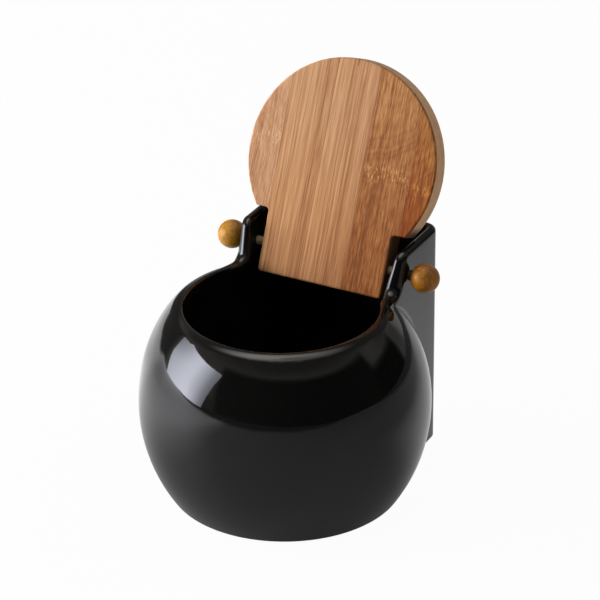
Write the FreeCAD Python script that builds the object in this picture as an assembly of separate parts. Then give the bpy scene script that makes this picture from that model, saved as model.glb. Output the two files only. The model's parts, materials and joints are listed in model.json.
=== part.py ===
import FreeCAD, Part
import math
import os

os.makedirs("parts", exist_ok=True)

# Salt canister: a glazed pot with a flat back, and a bamboo lid on a dowel between the pot's cheeks.
# Millimetres. The origin is on the floor under the middle of the pot, +Z up, +Y towards the flat back.

# Pot: a ball drawn with one arc below its widest ring and one above it, cut flat at the floor.
belly_radius = 49.5
belly_height = 32.6
keel_arc = 57.2
crown_arc = 54.8
mouth_inset = 15.0
wall = 4.4
floor_thickness = 4.6

# Back of the pot: a hollow upright box, whose side walls rise past the rim as the two cheeks.
cheek_inset = 3.2
back_standoff = 4.9
back_corner_radius = 4.3
back_inner_radius = 1.0
cheek_lean = 20.0
cheek_slant = 20.0
cheek_corner_radius = 2.6
cheek_edge_round = 1.8
cheek_front_gap = 3.0
seam_round = 2.5

# Lid: a disc with a tongue that reaches past the hinge, drawn upright with the hinge axis at its origin.
lid_thickness = 7.7
lid_face_depth = 3.4
lid_edge_round = 0.7
lid_lip_overlap = 0.58
lid_lead = 1.5
shoulder_bearing = 1.42
tongue_side_gap = 3.4
tongue_length = 9.9
tongue_corner_radius = 1.0
notch_corner_radius = 1.4
open_tilt = 23.8

# Strips that the lid is glued up from, left to right.
edge_strip_count = 6
flat_strip_width = 17.1
outer_strip_lead = 2.5

# Hinge: a dowel through both cheeks and the tongue, with a ball on each end.
hinge_inset = 3.3
dowel_radius = 1.5
ball_radius = 5.0
ball_cheek_gap = 0.6
ball_bore_share = 0.7

# Clearances
running_gap = 0.1
glue_gap = 0.03
seat_gap = 0.15
rest_gap = 0.15
overrun = 5.0

# Places worked out from the sizes above
keel_centre = belly_radius - keel_arc
crown_centre = belly_radius - crown_arc
mouth_radius = belly_radius - mouth_inset
lip_angle = math.acos((mouth_radius - crown_centre) / (crown_arc - wall / 2))
lip_height = belly_height + (crown_arc - wall / 2) * math.sin(lip_angle)
rim_height = lip_height + wall / 2

back_depth = belly_radius + back_standoff
cheek_half_width = mouth_radius - cheek_inset
cheek_inner_half = cheek_half_width - wall
hinge_setback = mouth_radius - hinge_inset
hinge_height = rim_height + seat_gap + lid_face_depth

lid_radius = mouth_radius + lid_lip_overlap
lid_reach = hinge_setback + lid_lead
lid_back_depth = lid_thickness - lid_face_depth
shoulder_half = cheek_inner_half + shoulder_bearing
lid_shoulder = lid_reach - math.sqrt(lid_radius ** 2 - shoulder_half ** 2)
tilt = math.radians(open_tilt)
shoulder_lift = lid_shoulder * math.cos(tilt) - lid_back_depth * math.sin(tilt)

cheek_top = hinge_height + shoulder_lift - rest_gap
cheek_foot = hinge_setback - lid_shoulder + cheek_front_gap
cheek_low = rim_height - wall
cheek_slope = math.tan(math.radians(cheek_lean))
cheek_sweep = math.tan(math.radians(cheek_slant))
cheek_end_width = wall / math.cos(math.radians(cheek_slant))

tongue_half_width = cheek_inner_half - tongue_side_gap
outer_strip_start = tongue_half_width + outer_strip_lead
right_strip_start = outer_strip_start - flat_strip_width
edge_strip_width = (right_strip_start + tongue_half_width) / edge_strip_count
ball_place = cheek_half_width + ball_cheek_gap + ball_radius
ball_bore_depth = 2 * ball_radius * ball_bore_share
dowel_half_length = ball_place - ball_radius + ball_bore_depth - glue_gap
full_turn = 360

axis_x = FreeCAD.Vector(1, 0, 0)
axis_y = FreeCAD.Vector(0, 1, 0)
axis_z = FreeCAD.Vector(0, 0, 1)
origin = FreeCAD.Vector(0, 0, 0)


def upright(radius, height):
    return FreeCAD.Vector(radius, 0, height)


def side(y, z):
    return FreeCAD.Vector(0, y, z)


def plan(x, y):
    return FreeCAD.Vector(x, y, 0)


def face_on_lid(x, s):
    return FreeCAD.Vector(x, -lid_face_depth, s)


def line(start, end):
    return Part.LineSegment(start, end).toShape()


def arc(start, middle, end):
    return Part.Arc(start, middle, end).toShape()


# A quarter circle in a square corner, from a point on one side to a point on the other.
def round_corner(start, corner, end):
    centre = start + end - corner
    return arc(start, centre + (corner - centre) * math.cos(math.pi / 4), end)


def on_arc(centre, radius, angle):
    return upright(centre + radius * math.cos(angle), belly_height + radius * math.sin(angle))


# A stretch of the ball's outline, between two angles counted up from the widest ring.
def ball_arc(centre, radius, start, end):
    middle = on_arc(centre, radius, (start + end) / 2)
    return arc(on_arc(centre, radius, start), middle, on_arc(centre, radius, end))


def solid_face(edges):
    return Part.Face(Part.Wire(Part.__sortEdges__(edges)))


def turned(edges):
    return solid_face(edges).revolve(origin, axis_z, full_turn)


# The angle at which an arc around the belly meets a level below it.
def angle_at(radius, height):
    return -math.asin((belly_height - height) / radius)


# The ball as a filled body, with a half-round lip around its mouth.
def filled_ball():
    low = angle_at(keel_arc, 0)
    base_edge = on_arc(keel_centre, keel_arc, low)
    lip_outer = on_arc(crown_centre, crown_arc, lip_angle)
    lip_inner = on_arc(crown_centre, crown_arc - wall, lip_angle)
    lip_way = upright(-math.sin(lip_angle), math.cos(lip_angle))
    lip_tip = upright(mouth_radius, lip_height) + lip_way * (wall / 2)
    edges = [
        line(origin, base_edge),
        ball_arc(keel_centre, keel_arc, low, 0),
        ball_arc(crown_centre, crown_arc, 0, lip_angle),
        arc(lip_outer, lip_tip, lip_inner),
        line(lip_inner, upright(0, lip_inner.z)),
        line(upright(0, lip_inner.z), origin),
    ]
    return turned(edges)


# The room inside the ball, up to where the lip starts to round.
def ball_room():
    inner_low = angle_at(keel_arc - wall, floor_thickness)
    floor_edge = on_arc(keel_centre, keel_arc - wall, inner_low)
    lip_inner = on_arc(crown_centre, crown_arc - wall, lip_angle)
    edges = [
        line(upright(0, floor_thickness), floor_edge),
        ball_arc(keel_centre, keel_arc - wall, inner_low, 0),
        ball_arc(crown_centre, crown_arc - wall, 0, lip_angle),
        line(lip_inner, upright(0, lip_inner.z)),
        line(upright(0, lip_inner.z), upright(0, floor_thickness)),
    ]
    return turned(edges)


# An upright block with rounded rear corners, from a front line to a back line.
def rear_block(half_width, front, back, corner, bottom, top):
    right_side = plan(half_width, back - corner)
    right_back = plan(half_width - corner, back)
    left_back = plan(corner - half_width, back)
    left_side = plan(-half_width, back - corner)
    edges = [
        line(plan(-half_width, front), plan(half_width, front)),
        line(plan(half_width, front), right_side),
        round_corner(right_side, plan(half_width, back), right_back),
        line(right_back, left_back),
        round_corner(left_back, plan(-half_width, back), left_side),
        line(left_side, plan(-half_width, front)),
    ]
    block = solid_face(edges).extrude(axis_z * (top - bottom))
    block.translate(axis_z * bottom)
    return block


# Seen from the side, the cheek leans back from its foot on the lip and turns level at its top.
# Seen from above, its front slants back towards the outside; way is -1 on the left and 1 on the right.
def cheek_outline(way):
    middle_foot = cheek_foot - (cheek_half_width - wall / 2) * cheek_sweep
    low_front = middle_foot - (rim_height - cheek_low) * cheek_slope
    top_front = middle_foot + (cheek_top - rim_height) * cheek_slope
    lean = math.radians(cheek_lean)
    reach = cheek_corner_radius * math.tan((math.pi / 2 - lean) / 2)
    start = side(top_front - reach * math.sin(lean), cheek_top - reach * math.cos(lean))
    end = side(top_front + reach, cheek_top)
    centre = side(end.y, cheek_top - cheek_corner_radius)
    half_turn = math.pi / 2 + (math.pi / 2 - lean) / 2
    middle = centre + side(math.cos(half_turn), math.sin(half_turn)) * cheek_corner_radius
    rear = back_depth + overrun
    edges = [
        line(side(low_front, 0), side(low_front, cheek_low)),
        line(side(low_front, cheek_low), start),
        arc(start, middle, end),
        line(end, side(rear, cheek_top)),
        line(side(rear, cheek_top), side(rear, 0)),
        line(side(rear, 0), side(low_front, 0)),
    ]
    return solid_face(edges).extrude(plan(way, cheek_sweep) * (cheek_half_width + overrun))


# The long edges of the cheeks' fronts and tops and of the back wall's top.
def cheek_rims(walls):
    rims = []
    for face in walls.Faces:
        across = abs(face.normalAt(0, 0).x) < math.cos(math.pi / 4)
        if not across or face.BoundBox.ZMax < cheek_low or face.BoundBox.ZMin < cheek_low - wall / 2:
            continue
        for edge in face.Edges:
            short = edge.Curve.TypeId == "Part::GeomLine" and edge.Length < cheek_end_width + glue_gap
            if not short and not any(edge.isSame(other) for other in rims):
                rims.append(edge)
    return rims


def back_room():
    inner_back = back_depth - wall
    top = cheek_top + overrun
    return rear_block(cheek_inner_half, 0, inner_back, back_inner_radius, floor_thickness, top)


# The curved edges along which the ball runs into the outsides of the box.
def ball_seams(body):
    seams = []
    for edge in body.Edges:
        middle = edge.valueAt((edge.FirstParameter + edge.LastParameter) / 2)
        on_side = abs(abs(middle.x) - cheek_half_width) < glue_gap
        if on_side and edge.Curve.TypeId == "Part::GeomBSplineCurve":
            seams.append(edge)
    return seams


def pot():
    room = back_room()
    block = rear_block(cheek_half_width, 0, back_depth, back_corner_radius, 0, cheek_top)
    outline = cheek_outline(-1).fuse(cheek_outline(1)).removeSplitter()
    walls = block.common(outline).cut(room).removeSplitter()
    walls = walls.makeFillet(cheek_edge_round, cheek_rims(walls))
    body = filled_ball().fuse(walls).removeSplitter()
    body = body.makeFillet(seam_round, ball_seams(body))
    bore_length = 2 * (cheek_half_width + overrun)
    bore_start = FreeCAD.Vector(-bore_length / 2, hinge_setback, hinge_height)
    bore = Part.makeCylinder(dowel_radius + running_gap, bore_length, bore_start, axis_x)
    return body.cut(ball_room()).cut(room).cut(bore)


# One side of the lid's outline: the tongue's corner and side, the notch and the square shoulder.
def lid_side(way):
    notch_start = face_on_lid(way * tongue_half_width, lid_shoulder - notch_corner_radius)
    notch_end = face_on_lid(way * (tongue_half_width + notch_corner_radius), lid_shoulder)
    corner_start = face_on_lid(way * (tongue_half_width - tongue_corner_radius), -tongue_length)
    corner_end = face_on_lid(way * tongue_half_width, tongue_corner_radius - tongue_length)
    return [
        round_corner(corner_start, face_on_lid(way * tongue_half_width, -tongue_length), corner_end),
        line(corner_end, notch_start),
        round_corner(notch_start, face_on_lid(way * tongue_half_width, lid_shoulder), notch_end),
        line(notch_end, face_on_lid(way * shoulder_half, lid_shoulder)),
    ]


def lid_board():
    end_half = tongue_half_width - tongue_corner_radius
    left_shoulder = face_on_lid(-shoulder_half, lid_shoulder)
    right_shoulder = face_on_lid(shoulder_half, lid_shoulder)
    edges = lid_side(-1) + lid_side(1)
    edges.append(line(face_on_lid(-end_half, -tongue_length), face_on_lid(end_half, -tongue_length)))
    edges.append(arc(left_shoulder, face_on_lid(0, lid_reach + lid_radius), right_shoulder))
    board = solid_face(edges).extrude(axis_y * lid_thickness)
    rims = [edge for edge in board.Edges if edge.BoundBox.YLength < lid_edge_round]
    board = board.makeFillet(lid_edge_round, rims)
    bore_half = tongue_half_width + overrun
    bore_start = axis_x * -bore_half
    bore = Part.makeCylinder(dowel_radius + glue_gap, 2 * bore_half, bore_start, axis_x)
    return board.cut(bore)


def lean_open(shape):
    shape.rotate(origin, axis_x, -open_tilt)
    shape.translate(side(hinge_setback, hinge_height))
    return shape


# Left side of each strip, from the lid's left edge; the middle strips start at the tongue's left side.
def lid_strips():
    places = [("flat_strip_left", -lid_radius - overrun)]
    for number in range(edge_strip_count):
        places.append(("edge_strip_%d" % (number + 1), number * edge_strip_width - tongue_half_width))
    places.append(("flat_strip_right", right_strip_start))
    places.append(("flat_strip_outer", outer_strip_start))
    ends = [left for name, left in places[1:]] + [lid_radius + overrun]
    board = lid_board()
    depth = lid_thickness + 2 * overrun
    length = lid_reach + lid_radius + tongue_length + 2 * overrun
    strips = {}
    for (name, left), right in zip(places, ends):
        corner = FreeCAD.Vector(left, -depth / 2, -tongue_length - overrun)
        strips[name] = lean_open(board.common(Part.makeBox(right - left, depth, length, corner)))
    return strips


def hinge_dowel():
    start = FreeCAD.Vector(-dowel_half_length, hinge_setback, hinge_height)
    return Part.makeCylinder(dowel_radius, 2 * dowel_half_length, start, axis_x)


# A ball with a blind bore that opens towards the pot; way is -1 on the left and 1 on the right.
def ball_knob(way):
    centre = FreeCAD.Vector(way * ball_place, hinge_setback, hinge_height)
    bore_radius = dowel_radius + glue_gap
    mouth = math.sqrt(ball_radius ** 2 - bore_radius ** 2)
    bottom = ball_bore_depth - ball_radius

    def spot(out, radius):
        return centre + axis_x * (way * out) + axis_z * radius

    edges = [
        line(spot(-mouth, bore_radius), spot(bottom, bore_radius)),
        line(spot(bottom, bore_radius), spot(bottom, 0)),
        line(spot(bottom, 0), spot(ball_radius, 0)),
        arc(spot(ball_radius, 0), spot(0, ball_radius), spot(-mouth, bore_radius)),
    ]
    return solid_face(edges).revolve(centre, axis_x, full_turn)


pieces = {"pot": pot(), "hinge_dowel": hinge_dowel()}
pieces["ball_knob_left"] = ball_knob(-1)
pieces["ball_knob_right"] = ball_knob(1)
pieces.update(lid_strips())

for name, shape in pieces.items():
    shape.exportStep("parts/%s.step" % name)
    print(name, len(shape.Solids), "solid", shape.isValid(), round(shape.Volume), "mm3")
print("hinge axis at y %.2f, z %.2f" % (hinge_setback, hinge_height))
print("cheek top %.2f, rim %.2f, strip width %.2f" % (cheek_top, rim_height, edge_strip_width))
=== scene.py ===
import json
import math

import bpy
from mathutils import Matrix, Vector


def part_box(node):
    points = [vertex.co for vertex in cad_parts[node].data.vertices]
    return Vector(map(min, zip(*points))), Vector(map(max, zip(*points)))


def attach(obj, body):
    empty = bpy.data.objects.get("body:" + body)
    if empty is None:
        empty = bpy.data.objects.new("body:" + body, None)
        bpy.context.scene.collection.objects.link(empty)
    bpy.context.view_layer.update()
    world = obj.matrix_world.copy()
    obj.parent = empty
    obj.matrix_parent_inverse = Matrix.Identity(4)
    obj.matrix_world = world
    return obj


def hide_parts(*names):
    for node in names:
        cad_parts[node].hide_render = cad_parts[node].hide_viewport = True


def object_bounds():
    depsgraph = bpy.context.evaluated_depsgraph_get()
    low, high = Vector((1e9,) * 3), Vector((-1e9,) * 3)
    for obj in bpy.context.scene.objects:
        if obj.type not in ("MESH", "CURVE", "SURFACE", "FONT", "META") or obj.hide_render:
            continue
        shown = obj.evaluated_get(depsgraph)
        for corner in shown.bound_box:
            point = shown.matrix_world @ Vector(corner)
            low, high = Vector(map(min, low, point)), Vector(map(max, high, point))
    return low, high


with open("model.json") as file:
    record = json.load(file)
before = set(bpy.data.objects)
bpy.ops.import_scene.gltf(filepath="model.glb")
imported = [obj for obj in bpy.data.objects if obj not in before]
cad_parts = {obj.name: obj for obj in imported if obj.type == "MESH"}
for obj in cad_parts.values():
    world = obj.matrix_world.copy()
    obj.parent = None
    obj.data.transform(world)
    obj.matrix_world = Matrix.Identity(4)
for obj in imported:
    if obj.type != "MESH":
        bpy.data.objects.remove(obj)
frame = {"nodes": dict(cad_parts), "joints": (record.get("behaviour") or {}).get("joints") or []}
cadLow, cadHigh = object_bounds()
potLow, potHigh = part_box("pot")
hinge = Vector(frame["joints"][0]["pos_m"])
mm = 0.001
print("frame loaded:", len(frame["nodes"]), "nodes")


class Wire:  # one socket of a node tree, so that node maths reads as sums
    def __init__(self, tree, socket=None):
        self.tree = tree
        self.socket = socket

    def node(self, kind, settings=None, values=None, output=0):
        made = self.tree.nodes.new(kind)
        for name, value in (settings or {}).items():
            if name == "stops":
                fillRamp(made.color_ramp, value)
            else:
                setattr(made, name, value)
        for name, value in (values or {}).items():
            if isinstance(value, Wire):
                self.tree.links.new(value.socket, made.inputs[name])
            else:
                made.inputs[name].default_value = value
        return Wire(self.tree, made.outputs[output] if made.outputs else None)

    def out(self, name):
        return Wire(self.tree, self.socket.node.outputs[name])

    def maths(self, operation, *others):
        return self.node("ShaderNodeMath", {"operation": operation}, dict(enumerate((self, *others))))

    def after(self, operation, first):
        return self.node("ShaderNodeMath", {"operation": operation}, {0: first, 1: self})

    def __add__(self, other):
        return self.maths("ADD", other)

    def __radd__(self, other):
        return self.after("ADD", other)

    def __sub__(self, other):
        return self.maths("SUBTRACT", other)

    def __rsub__(self, other):
        return self.after("SUBTRACT", other)

    def __mul__(self, other):
        return self.maths("MULTIPLY", other)

    def __rmul__(self, other):
        return self.after("MULTIPLY", other)

    def __truediv__(self, other):
        return self.maths("DIVIDE", other)

    def __rtruediv__(self, other):
        return self.after("DIVIDE", other)

    def __neg__(self):
        return self.after("SUBTRACT", 0.0)

    def __abs__(self):
        return self.maths("ABSOLUTE")


def fillRamp(ramp, stops):
    while len(ramp.elements) < len(stops):
        ramp.elements.new(1.0)
    for element, (place, colour) in zip(ramp.elements, stops):
        element.position = place
        element.color = colour


def greater(a, b):
    return a.maths("MAXIMUM", b)


def lesser(a, b):
    return a.maths("MINIMUM", b)


def span(a, b):  # length of the vector (a, b)
    return (a * a + b * b).maths("SQRT")


def ramp(value, low, high):  # 0 below low, 1 above high, eased between
    settings = {"interpolation_type": "SMOOTHSTEP"}
    return value.node("ShaderNodeMapRange", settings, {"Value": value, "From Min": low, "From Max": high})


def swell(value, rise, fall, loss=1.0):  # up over the first range, down again over the second
    return ramp(value, *rise) * (1.0 - ramp(value, *fall) * loss)


def colourMix(factor, low, high):  # a Mix node's colours are sockets 6 and 7, its result is output 2
    return factor.node("ShaderNodeMix", {"data_type": "RGBA"}, {0: factor, 6: low, 7: high}, 2)


def opaque(colour):
    return (*colour, 1.0)


# Pot. Its wall follows one distance field: a ball of two arcs joined to an upright box with a flat back.
potSize = {
    "Belly Radius": -potLow.y,
    "Belly Height": 32.6 * mm,
    "Keel Arc": 57.8 * mm,
    "Crown Arc": 54.8 * mm,
    "Crown Reach": 36.6 * mm,
    "Crown Shift": 1.75 * mm,  # the crown leans forward a little, most at the lip
    "Crown Bulge": 0.30 * mm,  # and is a little fuller than its arc
    "Bulge Full": 0.77,  # where the bulge is full, starts to fade and is gone, as shares of the reach
    "Bulge Fade": 0.82,
    "Bulge End": 1.04,
    "Wall": 4.4 * mm,
    "Cheek Wall": 5.3 * mm,  # the cheeks are stout at the foot and thin out towards their tops
    "Cheek Top Wall": 3.6 * mm,
    "Mouth Radius": 34.5 * mm,
    "Mouth Inner": 32.8 * mm,
    "Lip Outer Round": 1.6 * mm,
    "Lip Inner Round": 0.8 * mm,
    "Cheek Half Width": 31.3 * mm,
    "Cheek Top": potHigh.z,
    "Cheek Foot": 22.2 * mm,
    "Cheek Lean": math.radians(20.0),
    "Cheek Slant": math.radians(20.0),
    "Cheek Corner": 2.6 * mm,
    "Foot Blend": 2.0 * mm,
    "Stout From": 12.0 * mm,  # the lip thickens on its way to the cheek
    "Stout To": 20.0 * mm,
    "Back Depth": potHigh.y,
    "Back Corner": 4.3 * mm,
    "Bow From": 43.0 * mm,  # behind here the sides draw in towards the back
    "Bow Inset": 0.25 * mm,
    "Box Front": 2.0 * mm,  # where the box starts, inside the ball
    "Seam Round": 0.8 * mm,
    "Base Round": 0.9 * mm,
    "Bore Radius": 1.6 * mm,
    "Bore Round": 0.4 * mm,
    "Hinge Back": hinge.y,
    "Hinge Height": hinge.z,
}
potGrid = {
    "Step": 0.42 * mm,
    "Margin": 3.0 * mm,
    "Merge": 0.003,  # how far flat parts may share a face
    "Even Out": 3,
    "Tap": 0.04 * mm,
}


def roundJoin(a, b, radius):  # union with a filleted seam
    return greater(lesser(a, b), radius) - span(greater(radius - a, 0.0), greater(radius - b, 0.0))


def roundCut(a, b, radius):  # intersection with a rounded edge
    return lesser(greater(a, b), -radius) + span(greater(radius + a, 0.0), greater(radius + b, 0.0))


def addInputs(tree, values):
    for name, value in values.items():
        kind = "NodeSocketInt" if isinstance(value, int) else "NodeSocketFloat"
        tree.interface.new_socket(name, in_out="INPUT", socket_type=kind).default_value = value


def potField():
    tree = bpy.data.node_groups.new("potField", "GeometryNodeTree")
    tree.interface.new_socket("Place", in_out="INPUT", socket_type="NodeSocketVector")
    addInputs(tree, potSize)
    tree.interface.new_socket("Distance", in_out="OUTPUT", socket_type="NodeSocketFloat")
    tree.interface.new_socket("Rim", in_out="OUTPUT", socket_type="NodeSocketFloat")
    tree.interface.new_socket("Depth", in_out="OUTPUT", socket_type="NodeSocketFloat")
    given = Wire(tree).node("NodeGroupInput")
    size = {name: given.out(name) for name in potSize}
    parts = given.node("ShaderNodeSeparateXYZ", None, {0: given.out("Place")})
    x, y, z = parts.out("X"), parts.out("Y"), parts.out("Z")
    wall = size["Wall"]

    rise = z - size["Belly Height"]
    crown = greater(rise / size["Crown Reach"], 0.0)
    radius = span(x, y + crown * crown * size["Crown Shift"])
    upper = rise.maths("GREATER_THAN", 0.0)
    arc = size["Keel Arc"] + (size["Crown Arc"] - size["Keel Arc"]) * upper
    ball = span(radius - size["Belly Radius"] + arc, rise) - arc
    bulge = ramp(crown, 0.0, size["Bulge Full"]) - ramp(crown, size["Bulge Fade"], size["Bulge End"])
    ball = ball - size["Crown Bulge"] * bulge

    bow = greater((y - size["Bow From"]) / (size["Back Depth"] - size["Bow From"]), 0.0)
    across = abs(x) - size["Cheek Half Width"] + size["Back Corner"] + bow * bow * size["Bow Inset"]
    along = y - size["Back Depth"] + size["Back Corner"]
    corner = span(greater(across, 0.0), greater(along, 0.0))
    box = corner + lesser(greater(across, along), 0.0) - size["Back Corner"]
    box = greater(box, size["Box Front"] - y)
    outside = roundCut(roundJoin(ball, box, size["Seam Round"]), -z, size["Base Round"])

    middleArc = size["Crown Arc"] - wall * 0.5
    lipCosine = (size["Mouth Radius"] - size["Belly Radius"] + size["Crown Arc"]) / middleArc
    lipSine = (1.0 - lipCosine * lipCosine).maths("SQRT")
    level = z - size["Belly Height"] - middleArc * lipSine - wall * 0.5

    leanCosine, leanSine = size["Cheek Lean"].maths("COSINE"), size["Cheek Lean"].maths("SINE")
    sweep = (abs(x) - size["Cheek Half Width"] + wall * 0.5) * size["Cheek Slant"].maths("TANGENT")
    front = level * leanSine - (y - size["Cheek Foot"] - sweep) * leanCosine
    cheek = roundCut(z - size["Cheek Top"], front, size["Cheek Corner"])
    rim = roundJoin(level, cheek, size["Foot Blend"])

    stout = ramp(y, size["Stout From"], size["Stout To"])
    thick = wall + (size["Cheek Wall"] - wall) * stout
    thinning = ramp(z, size["Hinge Height"] - wall, size["Cheek Top"])
    thick = thick + (size["Cheek Top Wall"] - thick) * thinning
    mouth = lesser(size["Mouth Inner"] - radius, rise)
    inside = greater(-outside - thick, mouth)
    outerRound = size["Lip Outer Round"] + (thick * 0.5 - size["Lip Outer Round"]) * stout
    innerRound = size["Lip Inner Round"] + (thick * 0.5 - size["Lip Inner Round"]) * stout
    shell = greater(roundCut(outside, rim, outerRound), roundCut(inside, rim, innerRound))
    bore = size["Bore Radius"] - span(y - size["Hinge Back"], z - size["Hinge Height"])
    form = roundCut(shell, bore, size["Bore Round"])
    form.node("NodeGroupOutput", None, {"Distance": form, "Rim": rim, "Depth": -outside})
    return tree


def potTree(field, material):
    tree = bpy.data.node_groups.new("potForm", "GeometryNodeTree")
    tree.interface.new_socket("Geometry", in_out="OUTPUT", socket_type="NodeSocketGeometry")
    addInputs(tree, potSize)
    addInputs(tree, potGrid)
    given = Wire(tree).node("NodeGroupInput")
    size = {name: given.out(name) for name in potSize}
    position = given.node("GeometryNodeInputPosition")

    def fieldAt(place):
        return given.node("GeometryNodeGroup", {"node_tree": field}, {"Place": place, **size})

    def triple(x, y, z):
        return given.node("ShaderNodeCombineXYZ", None, {"X": x, "Y": y, "Z": z})

    def vectorMaths(operation, a, b=None, scale=None):
        values = {0: a}
        if b is not None:
            values[1] = b
        if scale is not None:
            values["Scale"] = scale
        return given.node("ShaderNodeVectorMath", {"operation": operation}, values)

    def slope():  # mean distance and outward direction, from four taps round the point
        total, way = None, None
        for tap in ((1, -1, -1), (-1, -1, 1), (-1, 1, -1), (1, 1, 1)):
            step = vectorMaths("SCALE", tap, None, given.out("Tap"))
            value = fieldAt(vectorMaths("ADD", position, step))
            pull = vectorMaths("SCALE", tap, None, value)
            total = value if total is None else total + value
            way = pull if way is None else vectorMaths("ADD", way, pull)
        return total * 0.25, vectorMaths("NORMALIZE", way)

    def settle(geometry):  # moves each point along the slope onto the surface
        distance, way = slope()
        offset = vectorMaths("SCALE", way, None, -distance)
        return given.node("GeometryNodeSetPosition", None, {"Geometry": geometry, "Offset": offset})

    margin, step = given.out("Margin"), given.out("Step")
    wide = size["Belly Radius"] + margin
    deep, tall = size["Back Depth"] + margin, size["Cheek Top"] + margin
    cube = given.node("GeometryNodeVolumeCube", None, {
        "Density": 0.5 - fieldAt(position) / step,
        "Min": triple(-wide, -wide, -margin),
        "Max": triple(wide, deep, tall),
        "Resolution X": wide * 2.0 / step,
        "Resolution Y": (wide + deep) / step,
        "Resolution Z": (tall + margin) / step,
    })
    values = {"Volume": cube, "Threshold": 0.5, "Adaptivity": given.out("Merge")}
    skin = given.node("GeometryNodeVolumeToMesh", None, values)
    values = {"Value": position, "Iterations": given.out("Even Out")}
    even = given.node("GeometryNodeBlurAttribute", {"data_type": "FLOAT_VECTOR"}, values)
    skin = given.node("GeometryNodeSetPosition", None, {"Geometry": skin, "Position": even})
    skin = settle(settle(skin))
    skin = given.node("GeometryNodeSetShadeSmooth", None, {"Geometry": skin})
    here = fieldAt(position)
    for name, output in (("rimNear", "Rim"), ("depth", "Depth")):
        values = {"Geometry": skin, "Name": name, "Value": here.out(output)}
        skin = given.node("GeometryNodeStoreNamedAttribute", None, values)
    values = {0: skin, "Custom Normal": slope()[1]}
    skin = given.node("GeometryNodeSetMeshNormal", {"mode": "FREE"}, values)
    skin = given.node("GeometryNodeRealizeInstances", None, {0: skin})
    skin = given.node("GeometryNodeSetMaterial", None, {"Geometry": skin, "Material": material})
    given.node("NodeGroupOutput", None, {"Geometry": skin})
    return tree


def plainMesh(name, tree, values):  # runs a tree and keeps its result as an ordinary mesh
    holder = bpy.data.objects.new(name + "Maker", bpy.data.meshes.new(name + "Maker"))
    bpy.context.scene.collection.objects.link(holder)
    modifier = holder.modifiers.new("form", "NODES")
    modifier.node_group = tree
    for item in tree.interface.items_tree:
        if item.in_out == "INPUT" and item.name in values:
            modifier[item.identifier] = values[item.name]
    bpy.context.view_layer.update()
    graph = bpy.context.evaluated_depsgraph_get()
    mesh = bpy.data.meshes.new_from_object(holder.evaluated_get(graph))
    holder.modifiers.clear()
    bpy.data.objects.remove(holder)
    mesh.name = name
    piece = bpy.data.objects.new(name, mesh)
    bpy.context.scene.collection.objects.link(piece)
    return piece


# Materials
def newMaterial(name):
    material = bpy.data.materials.new(name)
    material.use_nodes = True
    material.node_tree.nodes.clear()
    return material, Wire(material.node_tree)


def finishMaterial(sheet, values):
    shader = sheet.node("ShaderNodeBsdfPrincipled", None, values)
    sheet.node("ShaderNodeOutputMaterial", None, {"Surface": shader})


def noise(place, scale, detail=2.0, rough=0.5):
    values = {"Vector": place, "Scale": scale, "Detail": detail, "Roughness": rough}
    return place.node("ShaderNodeTexNoise", None, values)


def bump(height, depth, strength=1.0):
    values = {"Height": height, "Distance": depth, "Strength": strength}
    return height.node("ShaderNodeBump", None, values)


def split(place):
    parts = place.node("ShaderNodeSeparateXYZ", None, {0: place})
    return parts.out("X"), parts.out("Y"), parts.out("Z")


def tinted(colour, tint):
    settings = {"data_type": "RGBA", "blend_type": "MULTIPLY"}
    return colour.node("ShaderNodeMix", settings, {0: 1.0, 6: colour, 7: tint}, 2)


def scaled(colour, value):  # a colour times a varying number
    return value.node("ShaderNodeVectorMath", {"operation": "SCALE"}, {0: colour, "Scale": value})


glazeLook = {
    "black": (0.0040, 0.0038, 0.0036),
    "thin": (0.0060, 0.0050, 0.0045),  # where the glaze runs thin over the lip
    "index": 1.5,
    "gloss": 0.03,
    "smear": 0.03,
    "innerDull": 0.35,  # the inside has no clear reflections
    "innerRange": (0.75, 0.95),  # how deep it starts, as shares of the wall
    "driftSize": 36.0 * mm,
    "rippleSize": 9.0 * mm,
    "rippleDepth": 0.035 * mm,
    "peelSize": 1.3 * mm,
    "peelDepth": 0.0012 * mm,
}


def blackGlaze(look):
    material, sheet = newMaterial("blackGlaze")
    place = sheet.node("ShaderNodeTexCoord", None, None, "Object")
    rim = sheet.node("ShaderNodeAttribute", {"attribute_name": "rimNear"}, None, "Fac")
    depth = sheet.node("ShaderNodeAttribute", {"attribute_name": "depth"}, None, "Fac")
    wall = potSize["Wall"]
    inner = ramp(depth / wall, *look["innerRange"])
    drift = noise(place, 1.0 / look["driftSize"], 3.0)
    thin = ramp(rim + (drift - 0.5) * wall, -wall * 0.5, 0.0)
    ripple = noise(place, 1.0 / look["rippleSize"], 1.0)
    peel = noise(place, 1.0 / look["peelSize"], 1.0)
    height = ripple * look["rippleDepth"] + peel * look["peelDepth"]
    finishMaterial(sheet, {
        "Base Color": colourMix(thin * drift, opaque(look["black"]), opaque(look["thin"])),
        "Roughness": look["gloss"] + drift * look["smear"] + inner * look["innerDull"],
        "IOR": look["index"],
        "Normal": bump(height, 1.0),
    })
    return material


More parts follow.
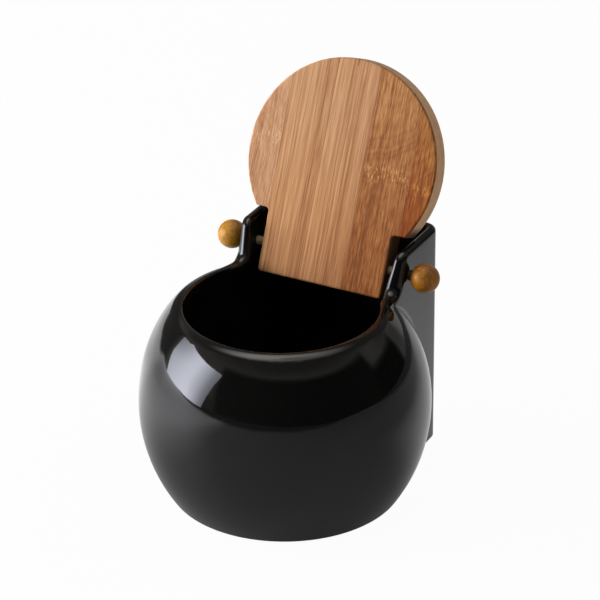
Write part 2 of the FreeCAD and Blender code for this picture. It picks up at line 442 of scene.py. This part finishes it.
lidTilt = math.radians(23.8)  # how far the open lid leans back
bambooLook = {
    "stops": [
        (0.00, (0.215, 0.078, 0.027)),
        (0.30, (0.345, 0.143, 0.057)),
        (0.60, (0.480, 0.237, 0.108)),
        (1.00, (0.640, 0.362, 0.190)),
    ],
    "gloss": 0.52,
    "glossChange": 0.2,
    "shine": 0.25,
    "grainDepth": 0.025 * mm,
    "grainStrength": 0.6,
    "tintRange": (55.0 * mm, 0.0),  # up the lid, where one tint gives way to the next
    "footShadeRange": (25.0 * mm, -12.0 * mm),  # painted shade, darker towards the foot
    "side": (0.62, 0.35, 0.17),  # the sawn edge all round
    "sideLeast": 0.62,
    "sideMore": 0.76,
    "sawnWidth": 1.4 * mm,
    "sawnLength": 5.0 * mm,
    "sawnShift": (0.3, 0.7, 0.2),
    "shade": 0.2,  # painted shade on the tongue's sides, between the cheeks
    "shadeRange": (13.0 * mm, 17.0 * mm),
    "middle": 0.45 * mm,
    "faceRange": (3.05 * mm, 3.55 * mm),  # from the middle, where the side turns into the face
}


def lidPlace(sheet):  # coordinates on the lid: across, through and along the grain, from the hinge
    place = sheet.node("ShaderNodeTexCoord", None, None, "Object")
    values = {"Vector": place, "Location": hinge, "Rotation": (-lidTilt, 0.0, 0.0)}
    return sheet.node("ShaderNodeMapping", {"vector_type": "TEXTURE"}, values)


def stretched(place, width, length, shift):  # one unit is width across the grain and length along it
    values = {"Vector": place, "Location": shift, "Scale": (1.0 / width, 1.0 / width, 1.0 / length)}
    return place.node("ShaderNodeMapping", None, values)


def finishBamboo(sheet, look, place, value, grain, tints):
    through, up = split(place)[1:]
    stops = [(spot, opaque(colour)) for spot, colour in look["stops"]]
    colour = value.node("ShaderNodeValToRGB", {"stops": stops}, {"Fac": value})
    colour = tinted(colour, colourMix(ramp(up, *look["tintRange"]), opaque(tints[0]), opaque(tints[1])))
    onFace = ramp(abs(through - look["middle"]), *look["faceRange"])
    sawn = stretched(place, look["sawnWidth"], look["sawnLength"], look["sawnShift"])
    sawn = noise(sawn, 1.0, 3.0, 0.6)
    # painted shade: the tongue's sides darken below the cheek tops
    shaded = look["shade"] + ramp(up, *look["shadeRange"]) * (1.0 - look["shade"])
    side = scaled(look["side"], (look["sideLeast"] + sawn * look["sideMore"]) * shaded)
    finishMaterial(sheet, {
        "Base Color": colourMix(onFace, side, colour),
        "Roughness": look["gloss"] + (0.5 - grain) * look["glossChange"],
        "Specular IOR Level": look["shine"],
        "Normal": bump(grain, look["grainDepth"], look["grainStrength"]),
    })


edgeLook = {  # strips glued on edge: fine ribs from end to end
    "seedShift": (3.17, 1.71, 0.37),
    "swayWidth": 40.0 * mm,
    "swayLength": 60.0 * mm,
    "sway": 0.9 * mm,
    "depthShare": 0.4,
    "bandWidth": 4.5 * mm,
    "ribWidth": 1.1 * mm,
    "ribLength": 260.0 * mm,
    "fibreWidth": 0.42 * mm,
    "fibreLength": 14.0 * mm,
    "lineRange": (0.56, 0.70),
    "jointRange": (0.048 * mm, 0.16 * mm),
    "slits": [(-7.4 * mm, 64.6 * mm), (-0.1 * mm, 65.2 * mm)],  # across, and where each starts
    "slitRange": (0.10 * mm, 0.26 * mm),
    "slitRise": 0.8 * mm,
    "gains": {"band": 0.65, "rib": 1.2, "line": 0.12, "fibre": 1.2, "joint": 0.18, "foot": 0.16,
              "slit": 0.6},
    "tints": ((0.95, 0.94, 0.89), (0.96, 0.88, 0.72)),
}


def edgeGrain(name, look, seed, tone, sides):
    material, sheet = newMaterial(name)
    place = lidPlace(sheet)
    across, through, up = split(place)
    gain = look["gains"]
    shift = tuple(seed * part for part in look["seedShift"])
    sway = noise(stretched(place, look["swayWidth"], look["swayLength"], shift), 1.0, 1.0) - 0.5
    values = {"X": across + sway * look["sway"], "Y": through * look["depthShare"], "Z": up}
    bent = sheet.node("ShaderNodeCombineXYZ", None, values)
    band = noise(stretched(bent, look["bandWidth"], look["ribLength"], shift), 1.0, 1.0)
    rib = noise(stretched(bent, look["ribWidth"], look["ribLength"], shift), 1.0, 2.0, 0.6)
    fibre = noise(stretched(bent, look["fibreWidth"], look["fibreLength"], shift), 1.0, 2.0, 0.6)
    line = ramp(rib, *look["lineRange"])
    joint = 1.0 - ramp(lesser(abs(across - sides[0]), abs(across - sides[1])), *look["jointRange"])
    value = tone + (band - 0.5) * gain["band"] - (rib - 0.5) * gain["rib"] - line * gain["line"]
    value = value + (fibre - 0.5) * gain["fibre"] - joint * gain["joint"]
    # painted shade, darker towards the foot
    value = value - ramp(up, *bambooLook["footShadeRange"]) * gain["foot"]
    for spot, start in look["slits"]:
        gash = 1.0 - ramp(abs(across - spot), *look["slitRange"])
        value = value - gash * ramp(up, start, start + look["slitRise"]) * gain["slit"]
    finishBamboo(sheet, bambooLook, place, value, 1.0 - rib + fibre * 0.5, look["tints"])
    return material


flatLook = {  # strips glued flat: flecks, and a band of curls where the cane had its node
    "seedShift": (2.91, 1.37, 0.53),
    "streakWidth": 3.4 * mm,
    "streakLength": 110.0 * mm,
    "fleckWidth": 0.62 * mm,
    "fleckLength": 4.6 * mm,
    "hairWidth": 0.31 * mm,
    "hairLength": 13.8 * mm,
    "waveWidth": 9.0 * mm,
    "waveLength": 500.0 * mm,
    "waveHeight": 9.0 * mm,
    "ringHeight": 2.6 * mm,
    "nearRange": (0.4, 1.5),  # this and the next two in ring heights from the node
    "aboveRanges": ((0.3, 1.6), (4.0, 9.0)),
    "belowRanges": ((0.8, -0.6), (-6.0, -13.0)),
    "curlWidth": 0.75 * mm,
    "curlLength": 1.9 * mm,
    "sparkRange": (0.48, 0.64),
    "archBend": 14.0,
    "archWave": 5.0 * mm,
    "archWidth": 2.4 * mm,
    "gains": {"streak": 0.70, "fleck": 0.5, "livelyFleck": 0.85, "hair": 1.1, "arc": 0.80, "near": 0.12,
              "above": 0.05, "spark": 0.75, "below": 0.09, "foot": 0.10},
}


def flatGrain(name, look, seed, tone, nodeHeight, lively, tints):
    material, sheet = newMaterial(name)
    place = lidPlace(sheet)
    across, up = split(place)[::2]
    gain = look["gains"]
    shift = tuple(seed * part for part in look["seedShift"])
    streak = noise(stretched(place, look["streakWidth"], look["streakLength"], shift), 1.0, 2.0)
    fleck = noise(stretched(place, look["fleckWidth"], look["fleckLength"], shift), 1.0, 2.0, 0.6)
    hair = noise(stretched(place, look["hairWidth"], look["hairLength"], shift), 1.0, 1.0)
    wave = noise(stretched(place, look["waveWidth"], look["waveLength"], shift), 1.0, 2.0) - 0.5
    ring = (up - nodeHeight - wave * look["waveHeight"]) / look["ringHeight"]
    near = 1.0 - ramp(abs(ring), *look["nearRange"])
    curl = noise(stretched(place, look["curlWidth"], look["curlLength"], shift), 1.0, 3.0, 0.65)
    spark = ramp(curl, *look["sparkRange"]) * near
    arch = up - across * across * look["archBend"] + wave * look["archWave"]
    arch = arch.node("ShaderNodeCombineXYZ", None, {"X": arch})
    arc = noise(stretched(arch, look["archWidth"], 1.0, shift), 1.0, 1.0)
    above = swell(ring, *look["aboveRanges"])
    below = swell(ring, *look["belowRanges"])
    value = tone + (streak - 0.5) * gain["streak"] + (hair - 0.5) * gain["hair"]
    value = value + (fleck - 0.5) * (gain["fleck"] + gain["livelyFleck"] * lively)
    bands = (arc - 0.5) * above * gain["arc"] - near * gain["near"]
    bands = bands + spark * gain["spark"] - below * gain["below"]
    value = value + bands * lively - above * gain["above"]
    # painted shade, darker towards the foot
    value = value - ramp(up, *bambooLook["footShadeRange"]) * gain["foot"]
    finishBamboo(sheet, bambooLook, place, value, fleck + curl * near, tints)
    return material


knobLook = {
    "pale": (0.70, 0.325, 0.018),
    "deep": (0.15, 0.044, 0.002),
    "gloss": 0.36,
    "glossChange": 0.15,
    "grainScale": (1500.0, 1500.0, 620.0),
    "cloudScale": 260.0,
    "cloudShare": 0.3,
    "range": (0.14, 0.82),
    "grainDepth": 0.02 * mm,
    "grainStrength": 0.5,
}


def stainedWood(name, look, seed, tint, shine):
    material, sheet = newMaterial(name)
    place = sheet.node("ShaderNodeTexCoord", None, None, "Object")
    values = {"Vector": place, "Location": (seed, seed * 2.0, 0.0), "Scale": look["grainScale"]}
    grain = noise(place.node("ShaderNodeMapping", None, values), 1.0, 3.0, 0.7)
    cloud = noise(place, look["cloudScale"], 2.0)
    value = ramp(grain * (1.0 - look["cloudShare"]) + cloud * look["cloudShare"], *look["range"])
    finishMaterial(sheet, {
        "Base Color": tinted(colourMix(value, opaque(look["deep"]), opaque(look["pale"])), opaque(tint)),
        "Roughness": look["gloss"] + grain * look["glossChange"],
        "Specular IOR Level": shine,
        "Normal": bump(grain, look["grainDepth"], look["grainStrength"]),
    })
    return material


dowelLook = {
    "pale": (0.72, 0.55, 0.34),
    "deep": (0.48, 0.32, 0.16),
    "stain": (0.10, 0.06, 0.03),  # painted shade on the ends, where the dowel runs into the cheeks and balls
    "stainRange": (29.0 * mm, 30.0 * mm),
    "gloss": 0.55,
    "glossChange": 0.1,
    "grainScale": (80.0, 1800.0, 1800.0),
    "grainDepth": 0.02 * mm,
    "grainStrength": 0.5,
}


def dowelWood(look):
    material, sheet = newMaterial("dowelWood")
    place = sheet.node("ShaderNodeTexCoord", None, None, "Object")
    values = {"Vector": place, "Scale": look["grainScale"]}
    grain = noise(place.node("ShaderNodeMapping", None, values), 1.0, 2.0)
    colour = colourMix(grain, opaque(look["deep"]), opaque(look["pale"]))
    # painted shade on the dowel's ends, in the gap between cheek and ball
    shadedEnd = ramp(abs(split(place)[0]), *look["stainRange"])
    finishMaterial(sheet, {
        "Base Color": colourMix(shadedEnd, colour, opaque(look["stain"])),
        "Roughness": look["gloss"] + grain * look["glossChange"],
        "Normal": bump(grain, look["grainDepth"], look["grainStrength"]),
    })
    return material


# Pieces
glaze = blackGlaze(glazeLook)
pot = plainMesh("glazedPot", potTree(potField(), glaze), {**potSize, **potGrid})
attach(pot, "pot")
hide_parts("pot")
print("pot:", len(pot.data.polygons), "faces")


def dress(node, material):
    slots = frame["nodes"][node].data.materials
    slots.clear()
    slots.append(material)


edgeTones = [0.74, 0.70, 0.56, 0.60, 0.60, 0.57]
for number, tone in enumerate(edgeTones, 1):
    node = "edge_strip_%d" % number
    low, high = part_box(node)
    dress(node, edgeGrain("edgeGrain%d" % number, edgeLook, number, tone, (low.x, high.x)))
flatStrips = {  # seed, tone, height of the node, how lively it is, tints at the top and the foot
    "flat_strip_left": (11, 0.71, 35.0 * mm, 0.55, ((1.0, 1.01, 1.05), (0.92, 0.90, 0.90))),
    "flat_strip_right": (12, 0.37, 31.0 * mm, 1.0, ((0.99, 0.92, 0.68), (0.83, 0.65, 0.34))),
    "flat_strip_outer": (13, 0.37, 29.5 * mm, 1.0, ((0.86, 0.70, 0.35), (0.70, 0.33, 0.0))),
}
for node, settings in flatStrips.items():
    dress(node, flatGrain(node + "Grain", flatLook, *settings))
knobs = {  # seed, tint, shine; the right ball's darker tint is painted shade
    "left": (0.7, (1.0, 1.0, 1.0), 0.45),
    # the darker tint is painted shade, as the cheek and lid keep the window off this ball; it also makes
    # the wood browner
    "right": (2.3, (0.74, 0.61, 0.45), 0.38),
}
for side, settings in knobs.items():
    dress("ball_knob_" + side, stainedWood(side + "KnobWood", knobLook, *settings))
dress("hinge_dowel", dowelWood(dowelLook))
print("lid dressed:", len(edgeTones) + len(flatStrips), "strips")


# Studio: a pale table, a window at the left and a dim room that only the gloss shows
potEye = Vector((0.0, 0.0, 45.0 * mm))  # the point from which the room's angles are seen


def direction(azimuth, elevation):
    a, e = math.radians(azimuth), math.radians(elevation)
    return Vector((math.sin(a) * math.cos(e), -math.cos(a) * math.cos(e), math.sin(e)))


def eased(value, low, high):
    share = min(1.0, max(0.0, (value - low) / (high - low)))
    return share * share * (3.0 - 2.0 * share)


def within(value, low, high, soft):
    return eased(value, low - soft, low + soft) * (1.0 - eased(value, high - soft, high + soft))


def between(pair, share):
    return pair[0] + (pair[1] - pair[0]) * share


def stageMesh(name, points, faces, material):
    mesh = bpy.data.meshes.new(name)
    mesh.from_pydata(points, [], faces)
    mesh.materials.append(material)
    made = bpy.data.objects.new(name, mesh)
    bpy.context.scene.collection.objects.link(made)
    return made


def glowCard(name, columns, rows, spot, tint):  # a curved card that only the gloss sees
    points, tones, faces = [], [], []
    for row in range(rows + 1):
        for column in range(columns + 1):
            point, tone = spot(column / columns, row / rows)
            points.append(point)
            tones.append(tone)
    for row in range(rows):
        for column in range(columns):
            start = row * (columns + 1) + column
            faces.append((start, start + 1, start + columns + 2, start + columns + 1))
    material, sheet = newMaterial(name)
    tone = sheet.node("ShaderNodeAttribute", {"attribute_name": "tone"}, None, "Fac")
    light = sheet.node("ShaderNodeEmission", None, {"Color": scaled(tint, tone)})
    sheet.node("ShaderNodeOutputMaterial", None, {"Surface": light})
    made = stageMesh(name, points, faces, material)
    made.data.attributes.new("tone", "FLOAT", "POINT").data.foreach_set("value", tones)
    made.visible_camera = made.visible_diffuse = made.visible_shadow = False
    made.visible_transmission = made.visible_volume_scatter = False


roomLook = {  # angles in degrees: azimuths from the front towards +X, elevations from level
    "radius": 1.6,
    "step": 3.0,
    "bottom": -1.0,
    "upper": 0.40,
    "upperLoss": 0.62,
    "upperFade": (28.0, 46.0),
    "behind": 0.55,
    "rear": 0.14,
    "rearFade": (12.0, 24.0),
    "rearStart": (120.0, 150.0),
    "overhead": 2.4,
    "overheadStart": (52.0, 76.0),
    "lean": 0.45,  # more of the overhead light comes from the left
    "soft": 3.0,
    "panes": [  # left, right, low, high, tone
        (-30.0, 113.0, -9.0, 33.0, 0.028),
        (-44.0, -28.0, -9.0, 7.0, 0.17),
        (110.0, 149.0, -9.0, 18.0, 0.012),
        (149.0, 162.0, -9.0, 16.0, 0.235),
        (-140.0, -88.0, -9.0, 30.0, 0.085),
    ],
    "tint": (1.0, 0.97, 0.92),
}


def roomSpot(u, v):
    look = roomLook
    azimuth, elevation = u * 360.0 - 180.0, v * 90.0 + look["bottom"]
    rear = between((look["behind"], look["rear"]), eased(elevation, *look["rearFade"]))
    upper = look["upper"] * (1.0 - look["upperLoss"] * eased(elevation, *look["upperFade"]))
    tone = upper + (rear - upper) * eased(abs(azimuth), *look["rearStart"])
    overhead = look["overhead"] * (1.0 - look["lean"] * math.sin(math.radians(azimuth)))
    tone += (overhead - tone) * eased(elevation, *look["overheadStart"])
    for left, right, low, high, dim in look["panes"]:
        inside = within(azimuth, left, right, look["soft"]) * within(elevation, low, high, look["soft"])
        tone += (dim - tone) * inside
    return potEye + direction(azimuth, elevation) * look["radius"], tone


windowLook = {
    "distance": 1.3,
    "columns": 24,
    "rows": 10,
    "facing": -55.0,
    "top": 26.2,
    "left": (-80.0, -84.6),  # at the sill and higher up
    "leftTurn": 1 / 3,  # share of the height where the left edge turns upright
    "right": (-39.0, -27.5),  # at the sill and at the top
    "sill": (-3.2, -2.8),  # at its left and right ends
    "glow": [(0.0, 5.8), (0.15, 7.6), (0.4, 10.2), (0.6, 11.4), (0.8, 7.2), (0.9, 4.0), (1.0, 2.6)],
    "topFade": 0.68,  # the upper left corner is dimmer
    "fadeWidth": 0.48,
    "tint": (0.96, 0.98, 1.12),
}


def windowSpot(u, v):
    look = windowLook
    left = between(look["left"], min(1.0, v / look["leftTurn"]))
    azimuth = between((left, between(look["right"], v)), u)
    slope = math.tan(math.radians(look["top"])) * math.cos(math.radians(azimuth - look["facing"]))
    elevation = between((between(look["sill"], u), math.degrees(math.atan(slope))), v)
    tone = 0.0
    for (start, first), (end, last) in zip(look["glow"], look["glow"][1:]):
        if start <= u <= end:
            tone = between((first, last), (u - start) / (end - start))
    tone *= 1.0 - v * look["topFade"] * max(0.0, 1.0 - u / look["fadeWidth"])
    return potEye + direction(azimuth, elevation) * look["distance"], tone


keyLook = {
    "azimuth": -62.0,
    "elevation": 14.0,
    "distance": 1.3,
    "width": 1.25,
    "height": 0.56,
    "power": 27.0,
    "colour": (0.98, 0.99, 1.0),
}


def placeKey(look):
    lamp = bpy.data.lights.new("windowLamp", "AREA")
    lamp.shape = "RECTANGLE"
    lamp.size, lamp.size_y = look["width"], look["height"]
    lamp.energy = look["power"]
    lamp.color = look["colour"]
    key = bpy.data.objects.new("windowLamp", lamp)
    bpy.context.scene.collection.objects.link(key)
    toKey = direction(look["azimuth"], look["elevation"])
    key.location = potEye + toKey * look["distance"]
    key.rotation_euler = toKey.to_track_quat("Z", "Y").to_euler()
    key.visible_glossy = False


def lightPath(sheet):  # switches for what the eye, gloss and glass meet
    path = sheet.node("ShaderNodeLightPath")
    return path.out("Is Camera Ray"), path.out("Is Glossy Ray"), path.out("Is Transmission Ray")


floorLook = {  # the pairs are metres from the pot's axis, where each part of the glare starts or ends
    "size": 8.0,
    "gap": 0.1 * mm,
    "white": (0.90, 0.90, 0.90),
    "gloss": 0.45,
    "clear": 0.965,
    "mirrored": 0.5,
    "plain": 0.19,
    "turn": (-0.985, 0.174),  # the way to the window along the table
    "leftGlare": 1.55,
    "leftStart": (0.03, 0.13),
    "leftEnd": (0.14, 0.34),
    "leftLoss": 0.5,
    "backGlare": 0.9,
    "backStart": (0.0, 0.06),
    "backEnd": (0.08, 0.20),
    "backLoss": 0.4,
    "backRight": (0.07, 0.16),
    "shade": 0.6,  # behind the pot on the left
    "shadeBack": (0.025, 0.07),
    "shadeStart": (0.0, 0.06),
    "shadeEnd": (0.10, 0.30),
    "far": 0.10,  # beyond the table's edges
    "farBack": (0.32, 0.52),
    "farLeft": (0.45, 0.80),
    "farLeftBack": (0.0, 0.14),
    "farFront": (-0.40, -0.70),
}


def paleTable(look):  # white to the eye, while the gloss meets a table that is bright only here and there
    material, sheet = newMaterial("paleTable")
    camera, glossy, clear = lightPath(sheet)
    across, along = split(sheet.node("ShaderNodeTexCoord", None, None, "Object"))[:2]
    reach = across * look["turn"][0] + along * look["turn"][1]
    left = swell(reach, look["leftStart"], look["leftEnd"], look["leftLoss"])
    back = swell(along, look["backStart"], look["backEnd"], look["backLoss"])
    back = back * (1.0 - ramp(across, *look["backRight"]))
    shade = ramp(along, *look["shadeBack"]) * swell(reach, look["shadeStart"], look["shadeEnd"])
    glare = left * look["leftGlare"] + back * look["backGlare"]
    glare = glare * (1.0 - shade * look["shade"]) + look["plain"]
    beyond = greater(ramp(along, *look["farBack"]), ramp(along, *look["farFront"]))
    beyond = greater(beyond, ramp(reach, *look["farLeft"]) * ramp(along, *look["farLeftBack"]))
    glare = glare + (look["far"] - glare) * beyond
    tone = glare * glossy + (1.0 - glossy)
    values = {"Base Color": opaque(look["white"]), "Roughness": look["gloss"]}
    top = sheet.node("ShaderNodeBsdfPrincipled", None, values)
    white = sheet.node("ShaderNodeEmission", None, {"Color": scaled((1.0, 1.0, 1.0), tone)})
    mirrored = look["mirrored"] + beyond * (1.0 - look["mirrored"])
    share = (camera + clear) * look["clear"] + glossy * mirrored
    mixed = sheet.node("ShaderNodeMixShader", None, {0: share, 1: top, 2: white})
    sheet.node("ShaderNodeOutputMaterial", None, {"Surface": mixed})
    return material


skyLook = {  # the pairs are parts of a direction's length
    "front": 0.05,
    "behind": 0.5,
    "behindStart": (-0.1, 0.6),
    "right": 0.3,
    "rightStart": (0.2, 0.8),
    "overhead": 0.4,
    "overheadStart": (0.82, 0.95),
}


def paleSky(look):  # white to the eye, a dimmer fill for everything else
    world = bpy.data.worlds.new("paleRoom")
    world.use_nodes = True
    world.node_tree.nodes.clear()
    sheet = Wire(world.node_tree)
    camera, glossy, clear = lightPath(sheet)
    across, along, up = split(sheet.node("ShaderNodeTexCoord", None, None, "Generated"))
    fill = look["front"] + ramp(along, *look["behindStart"]) * (look["behind"] - look["front"])
    fill = fill + ramp(across, *look["rightStart"]) * look["right"]
    fill = fill + ramp(up, *look["overheadStart"]) * look["overhead"]
    tone = fill + (1.0 - fill) * (camera + glossy + clear)
    sky = sheet.node("ShaderNodeBackground", None, {"Color": scaled((1.0, 1.0, 1.0), tone)})
    sheet.node("ShaderNodeOutputWorld", None, {"Surface": sky})
    return world


step = roomLook["step"]
glowCard("room", round(360.0 / step), round(90.0 / step), roomSpot, roomLook["tint"])
glowCard("window", windowLook["columns"], windowLook["rows"], windowSpot, windowLook["tint"])
placeKey(keyLook)
half, level = floorLook["size"] / 2, cadLow.z - floorLook["gap"]
corners = [(-half, -half, level), (half, -half, level), (half, half, level), (-half, half, level)]
stageMesh("table", corners, [(0, 1, 2, 3)], paleTable(floorLook))
bpy.context.scene.world = paleSky(skyLook)
print("studio set")


# Camera at the photograph's place
eyeLook = {
    "azimuth": 28.07,
    "elevation": 27.57,
    "roll": math.radians(-0.43),
    "target": Vector((5.985 * mm, 0.0, 71.73 * mm)),
    "distance": 1.1289,
    "lens": 204.14,
    "sensor": 36.0,
}


def placeEye(look):
    eye = bpy.data.objects.new("eye", bpy.data.cameras.new("eye"))
    bpy.context.scene.collection.objects.link(eye)
    eye.data.lens, eye.data.sensor_width = look["lens"], look["sensor"]
    back = direction(look["azimuth"], look["elevation"])
    right = Vector((0.0, 0.0, 1.0)).cross(back).normalized()
    turn = Matrix.Rotation(look["roll"], 3, back)
    right, up = turn @ right, turn @ back.cross(right)
    axes = Matrix((right, up, back)).transposed().to_4x4()
    eye.matrix_world = Matrix.Translation(look["target"] + back * look["distance"]) @ axes
    return eye


bpy.context.scene.camera = placeEye(eyeLook)
bpy.context.scene.view_settings.view_transform = "Standard"
print("camera set")
